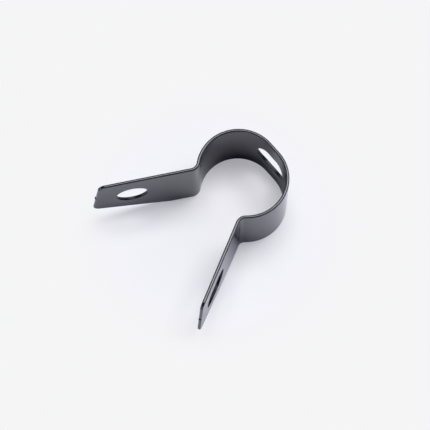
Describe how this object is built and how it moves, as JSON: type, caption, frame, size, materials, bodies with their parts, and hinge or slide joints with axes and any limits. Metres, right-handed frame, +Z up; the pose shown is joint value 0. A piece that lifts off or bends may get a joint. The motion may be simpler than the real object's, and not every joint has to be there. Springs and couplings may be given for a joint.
{
  "type": "brake hose clip",
  "caption": "Open loop clip folded from one flat black-coated steel strip, with two tapered ears that a screw draws together around a sleeved hose.",
  "frame": {"origin": "middle of the loop, level with the strip's lower edge on which the clip stands", "axes": "+Z up along the hose, +X towards the loop's slot and away from the ears, +Y towards the ear with the round hole"},
  "size_m": [0.0349, 0.035, 0.017],
  "materials": {
    "coated_steel": "smooth glossy black coating on steel strip"
  },
  "bodies": {
    "root": {"hose_clip": "coated_steel"}
  },
  "joints": []
}
